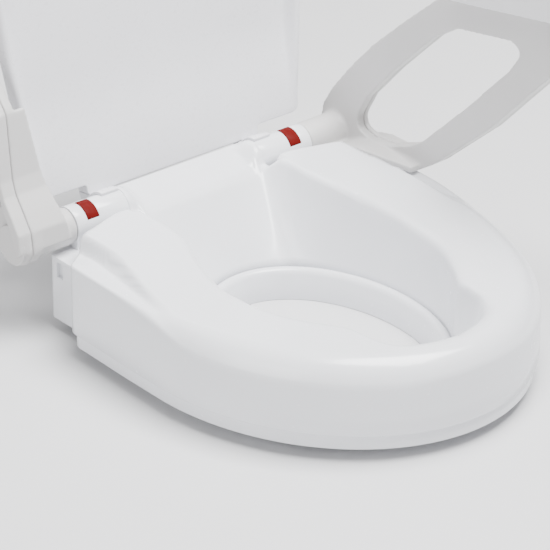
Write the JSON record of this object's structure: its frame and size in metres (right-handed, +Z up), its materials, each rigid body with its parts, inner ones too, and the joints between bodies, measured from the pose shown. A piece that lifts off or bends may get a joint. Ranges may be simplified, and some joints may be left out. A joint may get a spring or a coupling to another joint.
{
  "type": "raised toilet seat",
  "caption": "Raised toilet seat that clamps on a bowl, with an oval opening, a hinged lid, fold-up loop armrests and red release clips.",
  "frame": {"origin": "midway between the two fixing slots, on the plane where the base ring rests on the bowl", "axes": "+X to the sitter's left, -Y to the front of the seat, +Z up"},
  "size_m": [0.416, 0.6961, 0.5008],
  "materials": {
    "white_shell": "glossy moulded",
    "white_lid": "glossy moulded",
    "arm_grey": "satin moulded",
    "pad_grey": "satin moulded",
    "clip_red": "satin moulded",
    "steel": "zinc plated",
    "axle_steel": "drawn and turned",
    "black_bush": "moulded",
    "rubber": "soft"
  },
  "bodies": {
    "seat": {"seat_shell": "white_shell", "base_ring": "white_shell", "splash_guard": "white_shell", "fixing_plate": "steel", "plate_screws": "steel", "grip_pads": "rubber", "lid_shaft": "steel", "pedestal_screws": "steel", "rear_pedestal_left": "white_shell", "rear_pedestal_right": "white_shell", "hinge_housing_left": "white_shell", "hinge_housing_right": "white_shell", "axle_bush_left": "black_bush", "axle_bush_right": "black_bush"},
    "lid": {"lid_panel": "white_lid", "lid_hook_left": "white_lid", "lid_hook_right": "white_lid", "lid_buffers": "rubber"},
    "armrest_left": {"armrest_frame_left": "arm_grey", "armrest_cover_left": "arm_grey", "armrest_pad_left": "pad_grey", "armrest_axle_left": "axle_steel", "armrest_screws_left": "steel", "hub_cap_left": "arm_grey"},
    "armrest_right": {"armrest_frame_right": "arm_grey", "armrest_cover_right": "arm_grey", "armrest_pad_right": "pad_grey", "armrest_axle_right": "axle_steel", "armrest_screws_right": "steel", "hub_cap_right": "arm_grey"},
    "clip_left": {"release_clip_left": "clip_red"},
    "clip_right": {"release_clip_right": "clip_red"}
  },
  "joints": [
    {"name": "lid_hinge", "type": "hinge", "parent": "seat", "child": "lid", "pos_m": [0, 0.026, 0.084], "axis": [1, 0, 0], "range_deg": [0, 99.5]},
    {"name": "armrest_left_hinge", "type": "hinge", "parent": "seat", "child": "armrest_left", "pos_m": [0, 0.026, 0.084], "axis": [-1, 0, 0], "range_deg": [0, 96]},
    {"name": "armrest_right_hinge", "type": "hinge", "parent": "seat", "child": "armrest_right", "pos_m": [0, 0.026, 0.084], "axis": [1, 0, 0], "range_deg": [0, 96]},
    {"name": "clip_left_press", "type": "slide", "parent": "seat", "child": "clip_left", "axis": [0, 0.4067, -0.9135], "range_m": [0, 0.002], "stiffness_N_per_m": 600, "springref_m": -0.002},
    {"name": "clip_right_press", "type": "slide", "parent": "seat", "child": "clip_right", "axis": [0, 0.4067, -0.9135], "range_m": [0, 0.002], "stiffness_N_per_m": 600, "springref_m": -0.002}
  ]
}
